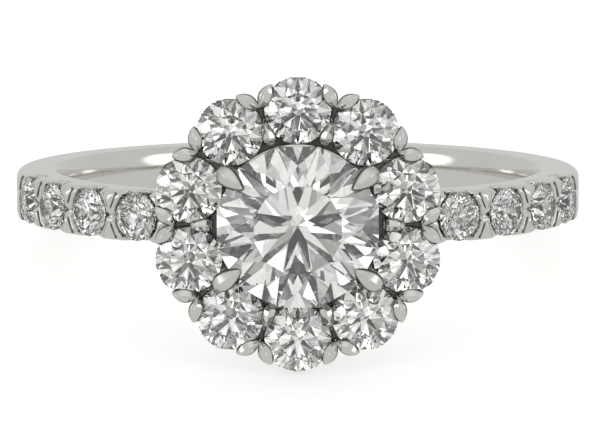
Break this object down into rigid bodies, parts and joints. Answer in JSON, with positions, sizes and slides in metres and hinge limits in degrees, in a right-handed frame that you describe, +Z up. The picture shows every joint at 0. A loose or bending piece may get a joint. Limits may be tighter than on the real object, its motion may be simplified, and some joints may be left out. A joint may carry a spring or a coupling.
{
  "type": "halo ring",
  "caption": "Finger ring with a large round stone in four claws, a scalloped halo of round stones, and stones along both shoulders.",
  "frame": {"origin": "bottom centre of the box round the ring as it lies on its side", "axes": "+Z up from the surface it lies on, the head with the large stone towards -Y, +X to the right seen from the head"},
  "size_m": [0.0204, 0.0226, 0.01],
  "materials": {
    "white_gold": "polished",
    "centre_stone": "polished facets",
    "small_stone": "polished facets"
  },
  "bodies": {
    "root": {"band_and_setting": "white_gold", "centre_stone": "centre_stone", "halo_stone_01": "small_stone", "halo_stone_02": "small_stone", "halo_stone_03": "small_stone", "halo_stone_04": "small_stone", "halo_stone_05": "small_stone", "halo_stone_06": "small_stone", "halo_stone_07": "small_stone", "halo_stone_08": "small_stone", "halo_stone_09": "small_stone", "halo_stone_10": "small_stone", "left_stone_1": "small_stone", "left_stone_2": "small_stone", "left_stone_3": "small_stone", "left_stone_4": "small_stone", "right_stone_1": "small_stone", "right_stone_2": "small_stone", "right_stone_3": "small_stone", "right_stone_4": "small_stone"}
  },
  "joints": []
}
